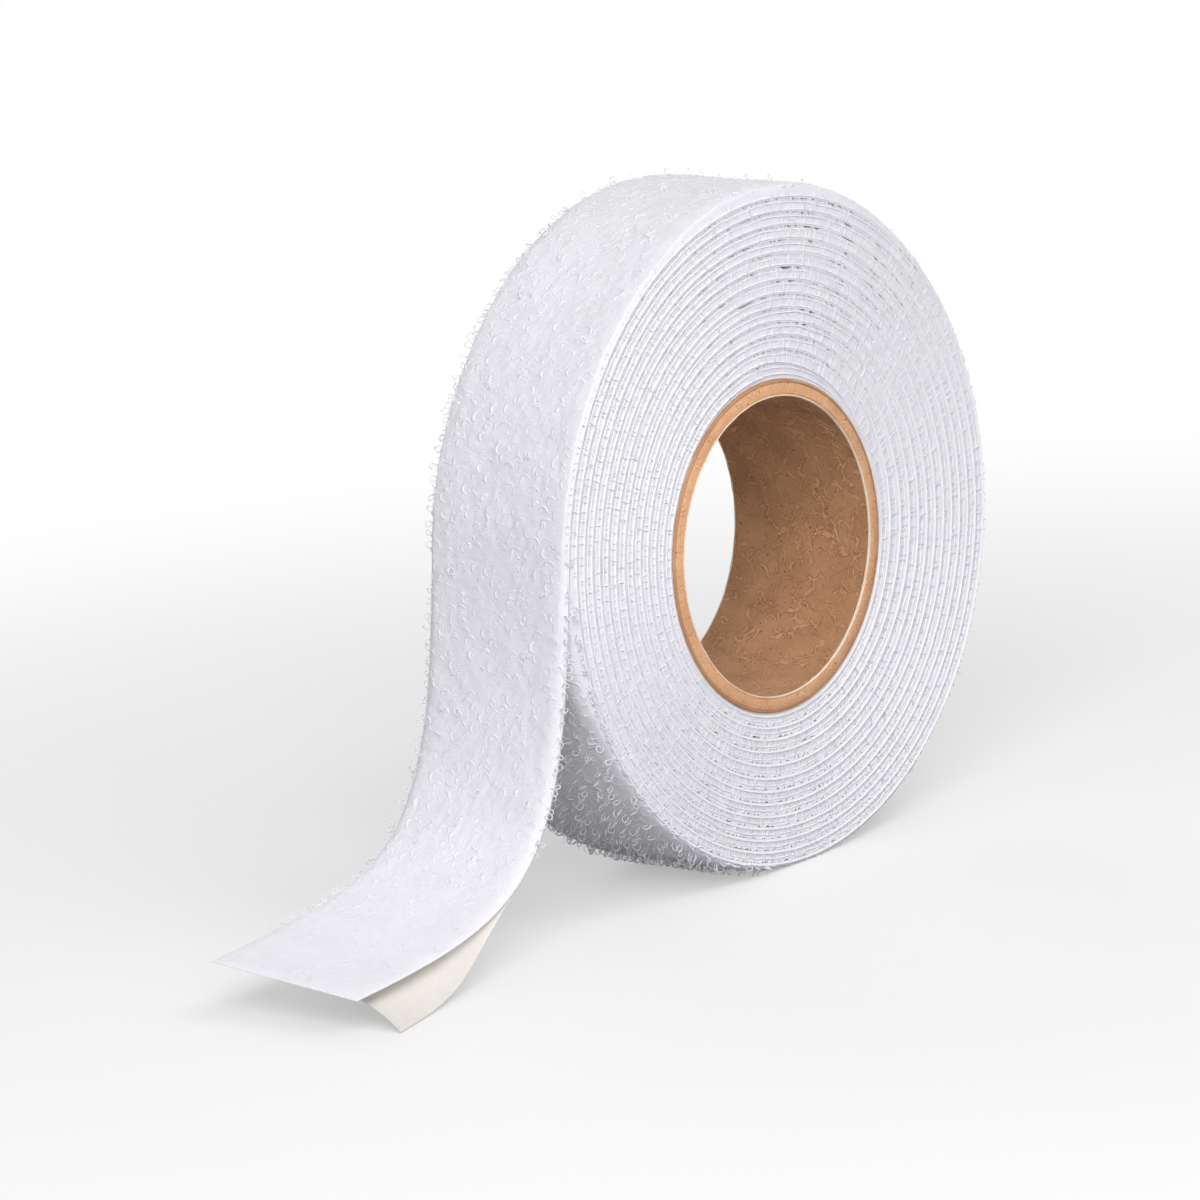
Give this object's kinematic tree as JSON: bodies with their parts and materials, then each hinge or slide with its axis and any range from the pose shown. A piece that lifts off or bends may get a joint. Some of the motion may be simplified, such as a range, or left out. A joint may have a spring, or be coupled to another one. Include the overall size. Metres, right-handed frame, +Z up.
{
  "type": "hook and loop tape roll",
  "caption": "Roll of white self-adhesive loop tape on a cardboard core, standing on its rim with a hanging free end and a peeled corner of release liner.",
  "frame": {"origin": "on the surface that the roll stands on, at the flat of its lowest turn, straight under the core's axis and midway across the tape's width", "axes": "+Z up; the roll's axis is along Y and its face in the picture looks to -Y; the free end of the tape hangs towards -X"},
  "size_m": [0.1539, 0.0274, 0.1007],
  "materials": {
    "pale_ply": "matte",
    "kraft_board": "matte",
    "kraft_ply": "matte",
    "loop_pile": "matte",
    "release_paper": "satin"
  },
  "bodies": {
    "roll": {"core_inner_ply": "pale_ply", "core_board": "kraft_board", "core_outer_ply": "kraft_ply", "wound_loop_tape": "loop_pile", "wound_release_liner": "release_paper"},
    "tail_root": {"tail_tape_root": "loop_pile", "tail_liner_root": "release_paper"},
    "tail_tip": {"tail_tape_tip": "loop_pile", "tail_liner_tip": "release_paper"},
    "liner_corner": {"liner_flap": "release_paper"}
  },
  "joints": [
    {"name": "tail_lift", "type": "hinge", "parent": "roll", "child": "tail_root", "pos_m": [-0.04892, 0, 0.05523], "axis": [0, 1, 0], "range_deg": [0, 35]},
    {"name": "tail_curl", "type": "hinge", "parent": "tail_root", "child": "tail_tip", "pos_m": [-0.05808, 0, 0.02143], "axis": [-0.0496, 0.9988, -0.003], "range_deg": [0, 40]},
    {"name": "liner_peel", "type": "hinge", "parent": "tail_tip", "child": "liner_corner", "pos_m": [-0.08188, -0.00813, 0.0088], "axis": [-0.9546, 0.2365, -0.1812], "range_deg": [0, 10]}
  ]
}
